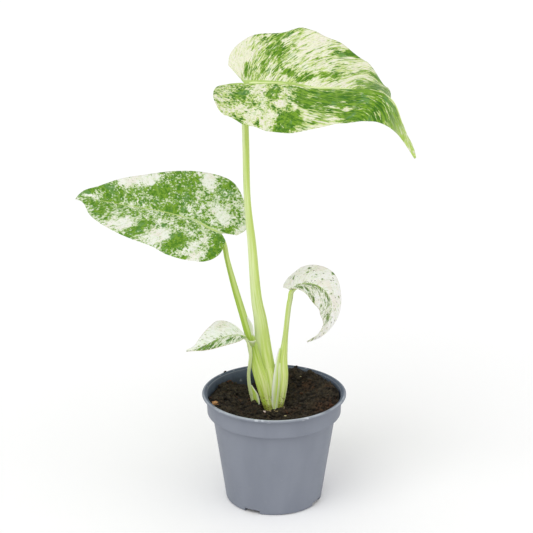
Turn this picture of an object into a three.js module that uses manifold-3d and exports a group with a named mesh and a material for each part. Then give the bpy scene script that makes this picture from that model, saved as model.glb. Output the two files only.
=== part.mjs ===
// A young variegated monstera in a nursery pot: four leaf blades on their stalks, the short
// rooted crown, the potting mix with two loose bits on it, and the pot. Millimetres, +Z up.
// The origin is the centre of the pot's underside. Seen from the front, which looks along +Y,
// +X is to the right.
import * as THREE from 'three';
import { mergeVertices } from 'three/addons/utils/BufferGeometryUtils.js';
import Module from 'manifold-3d';

const wasm = await Module();
wasm.setup();

// Clearance between pieces that touch
const GAP = 0.3;

// Pot: a thin tapered body, a wider band above a shoulder, and a flat lip
const POT_HEIGHT = 95;
const LIP_RADIUS = 60;
const LIP_INNER_RADIUS = 57.5;
const LIP_THICKNESS = 2;
const BAND_TOP_RADIUS = 56.6;
const BAND_FOOT_RADIUS = 55.8;
const BAND_FOOT_Z = 77.5;
const SHOULDER_RADIUS = 51.5;
const BASE_RADIUS = 40.6;
const BASE_CORNER = 2.2;
const WALL = 1;
const FLOOR = 1.6;
const FOOT_RING_INNER_RADIUS = 34;
const CENTRE_DISC_RADIUS = 17;
const FLOOR_RECESS = 2.2;
const WALL_FOOT_Z = FLOOR + FLOOR_RECESS;
const SHELF_Z = BAND_FOOT_Z + WALL;
const POT_SIDES = 56;
const DRAIN_HOLE_RADIUS = 4.5;
const DRAIN_CIRCLE_RADIUS = 25.5;
const DRAIN_HOLE_COUNT = 8;
const DEEP_NOTCH = { width: 14, height: 3.6, start: -27 };
const SHALLOW_NOTCH = { width: 12, height: 0.9, start: 18 };

// Potting mix: its usual level, and the mounds on it as [x, y, height, spread]
const SOIL_LEVEL = 80.5;
const SOIL_MOUNDS = [
  [50, 6, 12, 16],
  [36, 36, 9, 15],
  [16, 48, 9, 12],
  [-50, 0, 7.5, 16],
  [-42, 32, 7, 11],
  [-22, 48, -1.5, 8],
  [-16.5, -3, 6, 4],
  [0, 0, -1.7, 9],
];
const SOIL_SIDES = 48;

// Crown and roots
const CROWN_TOP_Z = 80.7;
const CROWN_RADIUS = 9;
const CROWN_SIDES = 20;
const ROOT_COUNT = 6;
const ROOT_RADIUS = 1.9;

// Leaf blades and stalks
const BLADE_THICKNESS = 0.8;
const FRAME_STATIONS = 121;
const FRAME_SOFTENING = 11;
const STALK_SIDES = 12;

const PAINT = {
  pot: { color: 0x878b96, roughness: 0.5 },
  soil: { color: 0x2d2820, roughness: 0.95 },
  root: { color: 0xb9a98a, roughness: 0.8 },
  stalk: { color: 0xbfd67f, roughness: 0.45 },
  youngStalk: { color: 0x9abb4a, roughness: 0.45 },
  paleStalk: { color: 0xcbd8a0, roughness: 0.45 },
  mixedBlade: { color: 0x9dbb72, roughness: 0.4 },
  paleBlade: { color: 0xe6e8dc, roughness: 0.45 },
  bark: { color: 0xa8683a, roughness: 0.9 },
  grain: { color: 0xd8c4bb, roughness: 0.9 },
};

const DEGREE = Math.PI / 180;
const UP = new THREE.Vector3(0, 0, 1);
const FORWARD = new THREE.Vector3(0, 1, 0);

// A blade is drawn flat first. Its midrib runs along y from the stalk (0) to the tip, and each
// half's outline gives x, the distance from the midrib, from the lobe's corner round to the tip.
// lift is the angle at which a half leaves the midrib, as [part of the length, degrees], and
// curl bends it further by so many degrees a millimetre. roll turns both halves about the midrib.
const BLADES = {
  tall: {
    midrib: [
      [-24, 0, 360], [-10, -2, 361], [12, -6, 361], [34, -12, 359], [59, -21, 361],
      [78, -28, 362], [90, -33, 356], [98, -38, 340], [109, -43, 311],
    ],
    roll: [[0, -26], [0.7, -26], [1, -20]],
    left: {
      lift: [[-0.1, 8], [0.3, 8], [0.5, -8], [0.62, -34], [0.74, -62], [0.84, -58], [1, -12]],
      curl: -0.12,
      outline: [
        [20, -14.7], [32.4, -14.4], [44.8, -8.1], [54.8, 3.6], [56.7, 22], [64.3, 33.4],
        [63.3, 38.5], [62, 42.8], [57.1, 52.7], [56.8, 65.4], [50, 79], [40.5, 92],
        [35, 105], [28, 118.5], [16, 141], [5.2, 158], [1.2, 171],
      ],
    },
    right: {
      lift: [[-0.12, 26], [-0.04, 16], [0.06, 9], [0.2, 8], [1, 4]],
      curl: -0.12,
      outline: [
        [0.4, -11.4], [6.1, -19.3], [16.9, -20.9], [27, -20.1], [36.5, -18.2], [50, -11.3],
        [56, 3.2], [58.6, 17], [62.5, 31.8], [60, 54], [54.7, 65.6], [50.5, 77], [45.7, 89],
        [46, 103.5], [42.7, 115], [35.4, 124], [24.8, 131.3], [15.6, 139.5], [9.8, 147.7],
        [5.5, 158], [1.2, 171],
      ],
    },
    rows: 33,
    columns: 8,
  },
  left: {
    midrib: [
      [-43, 0, 235], [-52, 3, 238], [-64, 8, 243], [-80, 14, 246], [-102, 20, 249],
      [-129, 28, 251], [-147, 33, 253], [-158, 36, 254], [-164, 37, 252],
    ],
    roll: [[0, 22]],
    left: {
      lift: [[0, 6]],
      curl: -0.1,
      outline: [
        [7, -7], [16.2, -9.2], [27, -9.4], [38.3, -3.3], [44.8, 8.5], [49.8, 24], [45.8, 44],
        [41.2, 68], [32.3, 90], [21.7, 108.4], [8.6, 119.4], [1, 129],
      ],
    },
    right: {
      lift: [[-0.1, -4], [-0.02, 2], [0.08, 6]],
      curl: -0.1,
      outline: [
        [5, -12], [14, -15], [25, -13.5], [36, -7], [46.5, 3.4], [55, 17.8], [55.3, 36.2],
        [48.5, 58.6], [38.5, 80.3], [28.8, 99], [13.5, 115.4], [5.4, 125.8], [1, 129],
      ],
    },
    rows: 29,
    columns: 7,
  },
  right: {
    midrib: [
      [15, 0, 186], [20, -1, 190], [28, -2, 192], [37, -4, 190], [44, -6, 184],
      [47, -7, 176], [45, -9, 163], [38, -11, 152], [27, -13, 145],
    ],
    roll: [[0, -10], [0.5, -20]],
    left: {
      lift: [[0, 5], [0.3, 5], [0.5, -2], [1, 8]],
      curl: -0.3,
      outline: [
        [14, -10.7], [21.1, -10.4], [27.9, -5.9], [30.5, 1], [30.7, 12.3], [26.2, 26],
        [19.3, 39], [14.8, 53], [8.2, 64.5], [3.9, 75.3], [0.9, 82.5],
      ],
    },
    right: {
      lift: [[-0.1, 34], [0, 30], [0.5, 3], [1, 0]],
      curl: -0.3,
      outline: [
        [3.5, 1], [9, 1.2], [17, 3], [25.5, 9.5], [27.4, 22.3], [21.7, 36], [16.7, 50.4],
        [6.7, 60.8], [2, 72.2], [0.9, 82.5],
      ],
    },
    rows: 24,
    columns: 6,
  },
  low: {
    midrib: [
      [-23, -8.5, 147.5], [-28, -8.5, 149], [-36, -10, 149.5], [-46, -12.5, 147.5],
      [-56, -15.5, 143.5], [-65, -18.5, 140.5], [-72, -20.5, 140],
    ],
    roll: [[0, 14]],
    left: {
      lift: [[0, 14]],
      curl: -0.3,
      outline: [
        [1.5, 0], [6.1, 2.4], [12, 7.4], [14.6, 16], [13.7, 26], [8.6, 37.8], [2.1, 46.2],
        [0.9, 52.5],
      ],
    },
    right: {
      lift: [[0, 12]],
      curl: -0.3,
      outline: [
        [1.5, 1], [8.1, 6.9], [14.8, 11.7], [18.7, 19], [15.6, 25.3], [10.5, 34.7], [3.9, 44.6],
        [0.9, 52.5],
      ],
    },
    rows: 16,
    columns: 5,
  },
};

// Stalks from the crown up to just under the blade, as [x, y, z, half width, half depth]. The
// three on the crown start inside it and are cut off level above it.
const STALKS = {
  tall: [
    [-1.2, 4.2, 79, 5, 3.3], [-2.6, 4.2, 86, 6.6, 3.9], [-5.2, 3.9, 105, 7.5, 4.4],
    [-8.7, 3.4, 130, 6.9, 4.5], [-11.5, 2.6, 159, 5.3, 4.2], [-14.5, 1.6, 177, 4.5, 3.9],
    [-18.2, 0.6, 225, 3.5, 3.3], [-21.7, 0, 263, 2.75, 2.75], [-22.8, 0, 310, 2.75, 2.7],
    [-23.6, 0.2, 346, 2.7, 2.7], [-24, 0.2, 358.6, 2.6, 2.6],
  ],
  left: [
    [-4, -3.8, 79, 3.2, 2.4], [-5.9, -4.4, 86, 3.9, 2.5], [-10, -5, 105, 5.2, 2.5],
    [-14.8, -4.8, 123, 4.8, 2.4], [-18.5, -4, 140, 4, 2.3], [-24, -2.4, 159, 3.2, 2.3],
    [-31.7, -0.8, 186, 2.7, 2.3], [-38, 0, 211, 2.1, 2.1], [-42.5, 0, 233.2, 1.9, 1.9],
  ],
  right: [
    [4, -1, 79, 3.2, 2.8], [4.7, -1.2, 86, 4, 2.9], [6.2, -1.2, 98, 4.6, 3],
    [7, -1, 110, 4.7, 3], [6.6, -0.8, 122, 4.5, 2.8], [8.2, -0.4, 134, 3, 2.6],
    [9.2, 0, 144, 2.3, 2.2], [11.9, 0, 173, 2.1, 2.1], [14.5, 0.1, 184.7, 2, 2],
  ],
  low: [
    [-12, -2, 73, 1.5, 1.4], [-16.4, -2.4, 84, 1.5, 1.4], [-18.6, -3, 92, 1.5, 1.4],
    [-20.3, -4.2, 101, 1.5, 1.4], [-21.1, -6, 113, 1.4, 1.4], [-20, -8.2, 124, 1.4, 1.4],
    [-19.4, -8.9, 133, 1.4, 1.4], [-20.9, -8.8, 142, 1.4, 1.4], [-22.6, -8.6, 146.4, 1.4, 1.3],
  ],
};

// Loose bits on the potting mix: place, size and turn
const BARK_CHIP = { x: -49.5, y: -7.5, length: 6, width: 3.6, thickness: 1.6, turn: 35 };
const PALE_GRAIN = { x: -8.4, y: -10.4, radius: 1.5 };

// Closed bodies

function solid(geometry) {
  const bare = geometry.clone();
  bare.deleteAttribute('normal');
  bare.deleteAttribute('uv');
  const merged = mergeVertices(bare, 1e-4);
  const index = merged.getIndex().array;
  const faces = [];
  for (let i = 0; i < index.length; i += 3) {
    const [a, b, c] = [index[i], index[i + 1], index[i + 2]];
    if (a !== b && b !== c && c !== a) {
      faces.push(a, b, c);
    }
  }
  return new wasm.Manifold(new wasm.Mesh({
    numProp: 3,
    vertProperties: Float32Array.from(merged.getAttribute('position').array),
    triVerts: Uint32Array.from(faces),
  }));
}

function geometryOf(manifold) {
  const mesh = manifold.getMesh();
  const geometry = new THREE.BufferGeometry();
  geometry.setAttribute('position', new THREE.BufferAttribute(mesh.vertProperties, 3));
  geometry.setIndex(new THREE.BufferAttribute(mesh.triVerts, 1));
  geometry.computeVertexNormals();
  return geometry;
}

function indexed(points, faces) {
  const geometry = new THREE.BufferGeometry().setFromPoints(points);
  geometry.setIndex(faces);
  return geometry;
}

// Rings of equal count, joined in turn, with a fan to the middle at each end
function loft(rings) {
  const count = rings[0].length;
  const points = rings.flat();
  const faces = [];
  for (let k = 0; k + 1 < rings.length; k += 1) {
    for (let i = 0; i < count; i += 1) {
      const a = k * count + i;
      const b = k * count + ((i + 1) % count);
      faces.push(a, b, b + count, a, b + count, a + count);
    }
  }
  const middle = (ring) => {
    const sum = ring.reduce((total, point) => total.add(point), new THREE.Vector3());
    return sum.divideScalar(count);
  };
  const first = points.push(middle(rings[0])) - 1;
  const last = points.push(middle(rings[rings.length - 1])) - 1;
  const top = (rings.length - 1) * count;
  for (let i = 0; i < count; i += 1) {
    const next = (i + 1) % count;
    faces.push(first, next, i, last, top + i, top + next);
  }
  return indexed(points, faces);
}

// Two grids of the same shape, one above the other, closed round their edge
function slab(upper, lower) {
  const rows = upper.length;
  const columns = upper[0].length;
  const size = rows * columns;
  const points = [...upper.flat(), ...lower.flat()];
  const faces = [];
  for (let i = 0; i + 1 < rows; i += 1) {
    for (let j = 0; j + 1 < columns; j += 1) {
      const a = i * columns + j;
      const b = a + 1;
      const c = a + columns + 1;
      const d = a + columns;
      faces.push(a, b, c, a, c, d, size + a, size + c, size + b, size + a, size + d, size + c);
    }
  }
  const edge = [];
  for (let j = 0; j + 1 < columns; j += 1) edge.push(j);
  for (let i = 0; i + 1 < rows; i += 1) edge.push(i * columns + columns - 1);
  for (let j = columns - 1; j > 0; j -= 1) edge.push((rows - 1) * columns + j);
  for (let i = rows - 1; i > 0; i -= 1) edge.push(i * columns);
  edge.forEach((a, k) => {
    const b = edge[(k + 1) % edge.length];
    faces.push(a, size + a, size + b, a, size + b, b);
  });
  return indexed(points, faces);
}

// Pot

function potProfile() {
  const corner = [];
  for (let k = 0; k <= 3; k += 1) {
    const angle = (k / 3) * 90 * DEGREE;
    corner.push([
      BASE_RADIUS - BASE_CORNER + BASE_CORNER * Math.sin(angle),
      BASE_CORNER - BASE_CORNER * Math.cos(angle),
    ]);
  }
  const underside = [
    [0, 0], [CENTRE_DISC_RADIUS, 0], [CENTRE_DISC_RADIUS + 1, FLOOR_RECESS],
    [FOOT_RING_INNER_RADIUS - 1, FLOOR_RECESS], [FOOT_RING_INNER_RADIUS, 0],
  ];
  const outside = [
    [SHOULDER_RADIUS, BAND_FOOT_Z],
    [BAND_FOOT_RADIUS - 0.6, BAND_FOOT_Z],
    [BAND_FOOT_RADIUS, BAND_FOOT_Z + 0.6],
    [BAND_TOP_RADIUS, POT_HEIGHT - LIP_THICKNESS],
    [LIP_RADIUS - 0.4, POT_HEIGHT - LIP_THICKNESS],
    [LIP_RADIUS, POT_HEIGHT - LIP_THICKNESS + 0.6],
    [LIP_RADIUS, POT_HEIGHT - 0.7],
    [LIP_RADIUS - 0.7, POT_HEIGHT],
    [LIP_INNER_RADIUS, POT_HEIGHT],
    [LIP_INNER_RADIUS - 1.2, POT_HEIGHT - 0.6],
  ];
  const inside = [
    [BAND_TOP_RADIUS - WALL, POT_HEIGHT - LIP_THICKNESS],
    [BAND_FOOT_RADIUS - WALL, SHELF_Z],
    [SHOULDER_RADIUS - WALL, SHELF_Z],
    [BASE_RADIUS - WALL, WALL_FOOT_Z],
    [BASE_RADIUS - BASE_CORNER + 0.4, FLOOR],
    [FOOT_RING_INNER_RADIUS + 0.8, FLOOR],
    [FOOT_RING_INNER_RADIUS - 0.6, WALL_FOOT_Z],
    [CENTRE_DISC_RADIUS + 0.6, WALL_FOOT_Z],
    [CENTRE_DISC_RADIUS - 0.8, FLOOR],
    [0, FLOOR],
  ];
  return [...underside, ...corner, ...outside, ...inside].map(([r, z]) => new THREE.Vector2(r, z));
}

function nurseryPot() {
  // A lathe turns about Y, so it is stood up on Z
  const shell = new THREE.LatheGeometry(potProfile(), POT_SIDES).rotateX(90 * DEGREE);
  let pot = solid(shell);
  for (let k = 0; k < DRAIN_HOLE_COUNT; k += 1) {
    const angle = (k * 360 / DRAIN_HOLE_COUNT + 18) * DEGREE;
    const hole = new THREE.CylinderGeometry(DRAIN_HOLE_RADIUS, DRAIN_HOLE_RADIUS, 12, 14)
      .rotateX(90 * DEGREE)
      .translate(DRAIN_CIRCLE_RADIUS * Math.sin(angle), -DRAIN_CIRCLE_RADIUS * Math.cos(angle), 3);
    pot = pot.subtract(solid(hole));
  }
  for (const notch of [DEEP_NOTCH, SHALLOW_NOTCH]) {
    for (let k = 0; k < 4; k += 1) {
      const length = BASE_RADIUS - FOOT_RING_INNER_RADIUS + 8;
      const cut = new THREE.BoxGeometry(notch.width, length, notch.height + 4)
        .translate(0, -(FOOT_RING_INNER_RADIUS - 0.5 + length / 2), notch.height / 2 - 2)
        .rotateZ((notch.start + 90 * k) * DEGREE);
      pot = pot.subtract(solid(cut));
    }
  }
  return pot;
}

// Potting mix

function soilTop(x, y) {
  const broad = 0.7 * Math.sin(0.23 * x + 1) * Math.cos(0.19 * y);
  const fine = 0.4 * Math.sin(0.47 * x) * Math.sin(0.41 * y + 2);
  const mounds = SOIL_MOUNDS.reduce((sum, [mx, my, height, spread]) => {
    const distance = (x - mx) ** 2 + (y - my) ** 2;
    return sum + height * Math.exp(-distance / (2 * spread * spread));
  }, 0);
  return SOIL_LEVEL + broad + fine + mounds;
}

function soilRing(radius, height) {
  const ring = [];
  for (let i = 0; i < SOIL_SIDES; i += 1) {
    const angle = (i / SOIL_SIDES) * 2 * Math.PI;
    const x = radius * Math.cos(angle);
    const y = radius * Math.sin(angle);
    ring.push(new THREE.Vector3(x, y, height === undefined ? soilTop(x, y) : height));
  }
  return ring;
}

function soilBody() {
  // The pot's wall is a polygon in plan, so the mix keeps inside its flats
  const flat = Math.cos(Math.PI / POT_SIDES);
  const low = WALL_FOOT_Z + 1;
  const lowInside = THREE.MathUtils.mapLinear(
    low, WALL_FOOT_Z, SHELF_Z, BASE_RADIUS - WALL, SHOULDER_RADIUS - WALL,
  );
  const bandInside = (BAND_FOOT_RADIUS - WALL) * flat - GAP;
  const rings = [
    soilRing(lowInside * flat - GAP - 1, WALL_FOOT_Z + GAP),
    soilRing(lowInside * flat - GAP, low),
    soilRing((SHOULDER_RADIUS - WALL) * flat - GAP, SHELF_Z + GAP),
    soilRing(bandInside, SHELF_Z + GAP),
    soilRing(bandInside),
  ];
  for (const radius of [50, 43, 36, 29, 22, 15, 8]) {
    rings.push(soilRing(radius));
  }
  return solid(loft(rings));
}

// Stalks and roots

function stalkBody(stations, extra = 0, depthAxis = FORWARD) {
  const path = new THREE.CatmullRomCurve3(
    stations.map(([x, y, z]) => new THREE.Vector3(x, y, z)), false, 'centripetal',
  );
  const steps = (stations.length - 1) * 2;
  const rings = [];
  for (let k = 0; k <= steps; k += 1) {
    const t = k / steps;
    const centre = path.getPoint(t);
    const tangent = path.getTangent(t);
    centre.addScaledVector(tangent, extra * (Number(k === steps) - Number(k === 0)));
    const depth = depthAxis.clone().addScaledVector(tangent, -depthAxis.dot(tangent)).normalize();
    const width = new THREE.Vector3().crossVectors(tangent, depth).negate();
    const place = Math.min(t * (stations.length - 1), stations.length - 1.001);
    const low = stations[Math.floor(place)];
    const high = stations[Math.floor(place) + 1];
    const halfWidth = THREE.MathUtils.lerp(low[3], high[3], place % 1) + extra;
    const halfDepth = THREE.MathUtils.lerp(low[4], high[4], place % 1) + extra;
    const ring = [];
    for (let i = 0; i < STALK_SIDES; i += 1) {
      const angle = (i / STALK_SIDES) * 2 * Math.PI;
      ring.push(centre.clone()
        .addScaledVector(width, halfWidth * Math.cos(angle))
        .addScaledVector(depth, halfDepth * Math.sin(angle)));
    }
    rings.push(ring);
  }
  return solid(loft(rings));
}

function rootBody(number, extra) {
  const angle = (number / ROOT_COUNT) * 2 * Math.PI + 0.2;
  const reach = number % 2 ? 32 : 24;
  const depth = number % 2 ? 24 : 12;
  const stations = [[0.05, 70, 1], [0.3, 66, 1], [0.5, 57, 0.95], [0.8, 40, 0.75], [1, depth, 0.5]];
  const placed = stations.map(([out, z, thickness]) => {
    const radius = thickness * ROOT_RADIUS;
    return [out * reach * Math.cos(angle), out * reach * Math.sin(angle), z, radius, radius];
  });
  const sideways = new THREE.Vector3(-Math.sin(angle), Math.cos(angle), 0);
  return stalkBody(placed, extra, sideways);
}

function crownBody(extra = 0) {
  const profile = [
    [0, 50 - extra], [4 + extra, 51.5 - extra], [7 + extra, 60], [CROWN_RADIUS + extra, 70],
    [CROWN_RADIUS + extra, CROWN_TOP_Z + extra], [0, CROWN_TOP_Z + extra],
  ];
  const outline = profile.map(([r, z]) => new THREE.Vector2(r, z));
  let crown = solid(new THREE.LatheGeometry(outline, CROWN_SIDES).rotateX(90 * DEGREE));
  for (let k = 0; k < ROOT_COUNT; k += 1) {
    crown = crown.add(rootBody(k, extra));
  }
  return crown;
}

// Leaf blades

function eased(keys, f) {
  let value = keys[0][1];
  for (let k = 0; k + 1 < keys.length; k += 1) {
    const t = THREE.MathUtils.clamp((f - keys[k][0]) / (keys[k + 1][0] - keys[k][0]), 0, 1);
    value += (keys[k + 1][1] - keys[k][1]) * t * t * (3 - 2 * t);
  }
  return value;
}

function softened(directions) {
  const last = directions.length - 1;
  return directions.map((direction, i) => {
    const sum = new THREE.Vector3();
    for (let k = -FRAME_SOFTENING; k <= FRAME_SOFTENING; k += 1) {
      sum.add(directions[THREE.MathUtils.clamp(i + k, 0, last)]);
    }
    return sum.normalize();
  });
}

// Places and directions along a midrib: along it, across the blade, and out of its face
function midribFrames(blade) {
  const curve = new THREE.CatmullRomCurve3(
    blade.midrib.map((p) => new THREE.Vector3(...p)), false, 'centripetal',
  );
  const places = curve.getSpacedPoints(FRAME_STATIONS - 1);
  const length = curve.getLength();
  const along = places.map((place, i) => {
    const before = places[Math.max(i - 1, 0)];
    const after = places[Math.min(i + 1, places.length - 1)];
    return after.clone().sub(before).normalize();
  });
  let level = new THREE.Vector3().crossVectors(along[0], UP).normalize();
  const across = [];
  const outward = [];
  along.forEach((tangent, i) => {
    level = level.clone().addScaledVector(tangent, -level.dot(tangent)).normalize();
    const above = new THREE.Vector3().crossVectors(level, tangent);
    const roll = eased(blade.roll, i / (places.length - 1)) * DEGREE;
    const [c, s] = [Math.cos(roll), Math.sin(roll)];
    across.push(level.clone().multiplyScalar(c).addScaledVector(above, s));
    outward.push(above.multiplyScalar(c).addScaledVector(level, -s));
  });
  return {
    places, along, length, across: softened(softened(across)), outward: softened(softened(outward)),
  };
}

function mixed(list, place) {
  const at = THREE.MathUtils.clamp(place, 0, 1) * (list.length - 1);
  const low = Math.min(Math.floor(at), list.length - 2);
  return list[low].clone().lerp(list[low + 1], at - low);
}

// A point of the blade and its outward direction, from flat x and y
function bladePoint(frames, shape, side, x, y) {
  const f = y / frames.length;
  const lift = eased(shape.lift, f) * DEGREE;
  const curl = shape.curl * DEGREE;
  const sideways = (Math.sin(lift + curl * x) - Math.sin(lift)) / curl;
  const height = (Math.cos(lift) - Math.cos(lift + curl * x)) / curl;
  const across = mixed(frames.across, f);
  const outward = mixed(frames.outward, f);
  const point = mixed(frames.places, f)
    .addScaledVector(mixed(frames.along, f), Math.min(y, 0))
    .addScaledVector(across, side * sideways)
    .addScaledVector(outward, height);
  const slope = x > 0 ? lift + curl * x : 0;
  const normal = outward.multiplyScalar(Math.cos(slope))
    .addScaledVector(across, -side * Math.sin(slope))
    .normalize();
  return { point, normal };
}

// Where on the midrib the vein to a margin place starts, as a part of the length
function veinStart(t) {
  return 0.05 * t + 0.95 * Math.max(0, (t - 0.12) / 0.88) ** 1.7;
}

function bladeBody(blade) {
  const frames = midribFrames(blade);
  const margins = [['left', -1], ['right', 1]].map(([name, side]) => ({
    shape: blade[name],
    side,
    curve: new THREE.CatmullRomCurve3(
      blade[name].outline.map(([x, y]) => new THREE.Vector3(x, y, 0)), false, 'centripetal',
    ),
  }));
  const half = BLADE_THICKNESS / 2;
  const upper = [];
  const lower = [];
  for (let i = 0; i < blade.rows; i += 1) {
    const t = i / (blade.rows - 1);
    const start = veinStart(t) * frames.length;
    const row = [];
    for (const { shape, side, curve } of margins) {
      const end = curve.getPointAt(t);
      const reach = Math.hypot(end.x, end.y - start);
      const bow = 0.1 * reach * eased([[0.05, 0], [0.3, 1]], t);
      for (let j = side < 0 ? blade.columns : 1; j >= 0 && j <= blade.columns; j += side) {
        if (side > 0 || j > 0) {
          const v = j / blade.columns;
          const bend = 2 * v * (1 - v) * ((start + end.y) / 2 - bow);
          const y = (1 - v) ** 2 * start + bend + v * v * end.y;
          row.push(bladePoint(frames, shape, side, v * end.x, y));
        } else {
          row.push(bladePoint(frames, shape, side, 0, start));
        }
      }
    }
    upper.push(row.map(({ point, normal }) => point.clone().addScaledVector(normal, half)));
    lower.push(row.map(({ point, normal }) => point.clone().addScaledVector(normal, -half)));
  }
  return solid(slab(upper, lower));
}

// Loose bits

function barkChip(extra = 0) {
  const { x, y, length, width, thickness, turn } = BARK_CHIP;
  const outline = new THREE.Shape([
    new THREE.Vector2(-length / 2 - extra, -width / 3),
    new THREE.Vector2(length / 5, -width / 2 - extra),
    new THREE.Vector2(length / 2 + extra, -width / 6),
    new THREE.Vector2(length / 3, width / 2 + extra),
    new THREE.Vector2(-length / 3, width / 3 + extra),
  ]);
  const chip = new THREE.ExtrudeGeometry(outline, { depth: thickness + 2 * extra, bevelEnabled: false })
    .translate(0, 0, -thickness / 2 - extra)
    .rotateX(14 * DEGREE)
    .rotateZ(turn * DEGREE)
    .translate(x, y, soilTop(x, y) + 0.8);
  return solid(chip);
}

function paleGrain(extra = 0) {
  const { x, y, radius } = PALE_GRAIN;
  const grain = new THREE.DodecahedronGeometry(radius + extra)
    .scale(1.2, 1, 0.8)
    .translate(x, y, soilTop(x, y) + 0.7);
  return solid(grain);
}

// Assembly

const part = new THREE.Group();

function add(name, body, paint) {
  const material = new THREE.MeshStandardMaterial({ ...PAINT[paint], metalness: 0 });
  const mesh = new THREE.Mesh(geometryOf(body), material);
  mesh.name = name;
  part.add(mesh);
}

const crownSpace = crownBody(GAP);
const soil = [stalkBody(STALKS.low, GAP), barkChip(GAP), paleGrain(GAP)]
  .reduce((rest, piece) => rest.subtract(piece), soilBody().subtract(crownSpace));

add('nursery_pot', nurseryPot(), 'pot');
add('potting_mix', soil, 'soil');
add('root_crown', crownBody(), 'root');
add('tall_stalk', stalkBody(STALKS.tall).subtract(crownSpace), 'stalk');
add('left_stalk', stalkBody(STALKS.left).subtract(crownSpace), 'youngStalk');
add('right_stalk', stalkBody(STALKS.right).subtract(crownSpace), 'youngStalk');
add('low_stalk', stalkBody(STALKS.low), 'paleStalk');
add('tall_blade', bladeBody(BLADES.tall), 'mixedBlade');
add('left_blade', bladeBody(BLADES.left), 'mixedBlade');
add('right_blade', bladeBody(BLADES.right), 'paleBlade');
add('low_blade', bladeBody(BLADES.low), 'paleBlade');
add('bark_chip', barkChip(), 'bark');
add('pale_grain', paleGrain(), 'grain');

export default part;
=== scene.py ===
"""Looks for a young variegated monstera in a nursery pot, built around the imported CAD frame.

Shapes are worked out in millimetres, in the CAD frame, and scaled to metres when a mesh is made.
A blade is a grid: t runs round the margin from the lobe's corner (0) to the tip (1), and v runs
from the midrib (0) out along a side vein to the margin (1).
"""
import math

import bmesh
import bpy
import numpy as np
from mathutils import Matrix, Vector


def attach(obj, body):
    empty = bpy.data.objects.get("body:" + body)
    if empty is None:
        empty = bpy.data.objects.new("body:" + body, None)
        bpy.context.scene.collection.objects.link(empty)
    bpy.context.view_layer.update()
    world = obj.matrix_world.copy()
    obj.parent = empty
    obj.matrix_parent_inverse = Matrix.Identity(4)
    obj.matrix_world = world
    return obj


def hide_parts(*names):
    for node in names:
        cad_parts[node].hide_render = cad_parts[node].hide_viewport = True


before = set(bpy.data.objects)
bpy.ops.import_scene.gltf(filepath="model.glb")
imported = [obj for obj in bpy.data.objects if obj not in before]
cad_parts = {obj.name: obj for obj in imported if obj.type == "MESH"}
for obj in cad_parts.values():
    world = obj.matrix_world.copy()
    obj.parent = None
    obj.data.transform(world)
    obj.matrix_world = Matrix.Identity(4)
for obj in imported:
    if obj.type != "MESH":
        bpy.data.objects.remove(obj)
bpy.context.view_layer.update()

MM = 0.001

# Numbers shared with the CAD model, in millimetres

POT_HEIGHT = 95
LIP_RADIUS = 60
SHOULDER_RADIUS = 51.5
BAND_FOOT_Z = 77.5
BASE_RADIUS = 40.6
MIX_LEVEL = 80.5

# Mounds in the mix: x, y, height and spread
MOUNDS = [(50, 6, 12, 16), (36, 36, 9, 15), (16, 48, 9, 12), (-50, 0, 7.5, 16), (-42, 32, 7, 11),
          (-22, 48, -1.5, 8), (-16.5, -3, 6, 4), (0, 0, -1.7, 9)]

# The blades: the midrib from the stalk to the tip, the blade's roll about it, in degrees, at each
# place along it (0 to 1), the curl of the halves, in degrees per millimetre, and the grid's size
BLADES = {
    "tall": {
        "midrib": [(-24, 0, 360), (-10, -2, 361), (12, -6, 361), (34, -12, 359), (59, -21, 361),
            (78, -28, 362), (90, -33, 356), (98, -38, 340), (109, -43, 311)],
        "roll": [(0, -26), (0.7, -26), (1, -20)],
        "curl": -0.12,
        "grid": (230, 50),
    },
    "left": {
        "midrib": [(-43, 0, 235), (-52, 3, 238), (-64, 8, 243), (-80, 14, 246), (-102, 20, 249),
            (-129, 28, 251), (-147, 33, 253), (-158, 36, 254), (-164, 37, 252)],
        "roll": [(0, 22), (1, 22)],
        "curl": -0.1,
        "grid": (210, 46),
    },
    "right": {
        "midrib": [(15, 0, 186), (20, -1, 190), (28, -2, 192), (37, -4, 190), (44, -6, 184),
            (47, -7, 176), (45, -9, 163), (38, -11, 152), (27, -13, 145)],
        "roll": [(0, -10), (0.5, -20)],
        "curl": -0.3,
        "grid": (160, 36),
    },
    "low": {
        "midrib": [(-23, -8.5, 147.5), (-28, -8.5, 149), (-36, -10, 149.5), (-46, -12.5, 147.5),
            (-56, -15.5, 143.5), (-65, -18.5, 140.5), (-72, -20.5, 140)],
        "roll": [(0, 14), (1, 14)],
        "curl": -0.3,
        "grid": (120, 26),
    },
}

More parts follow.
